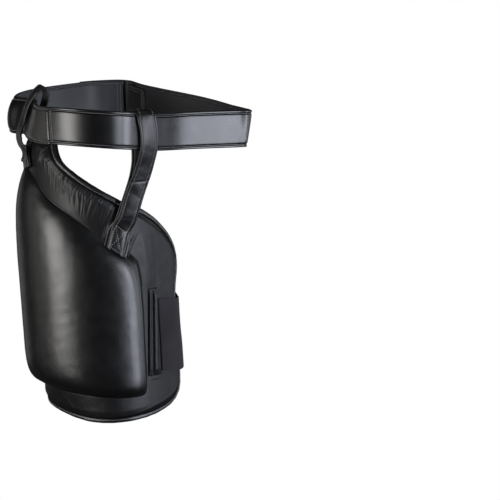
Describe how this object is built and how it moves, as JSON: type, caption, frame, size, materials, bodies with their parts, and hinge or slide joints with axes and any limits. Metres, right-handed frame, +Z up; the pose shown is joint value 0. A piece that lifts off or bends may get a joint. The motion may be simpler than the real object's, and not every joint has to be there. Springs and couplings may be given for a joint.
{
  "type": "thigh pad",
  "caption": "Padded leather thigh guard hung from a waist belt by loop straps, with a wide elastic that closes it round the thigh.",
  "frame": {"origin": "middle of the waist belt's loop, at half the height of its front band", "axes": "+Z up, the wearer faces -Y, +X is the wearer's left"},
  "size_m": [0.3336, 0.2966, 0.4462],
  "materials": {
    "leather": "smooth black leather, semi-gloss",
    "binding": "black leather edge binding, semi-gloss",
    "belt_leather": "black padded leather, semi-gloss, stitched",
    "tab_fabric": "matte black",
    "elastic": "matte dark woven elastic"
  },
  "bodies": {
    "root": {"pad_shell": "leather", "pad_binding": "binding", "belt": "belt_leather", "belt_end_tab": "tab_fabric", "front_strap": "belt_leather", "side_strap": "belt_leather", "thigh_elastic": "elastic", "elastic_welt": "leather"}
  },
  "joints": []
}
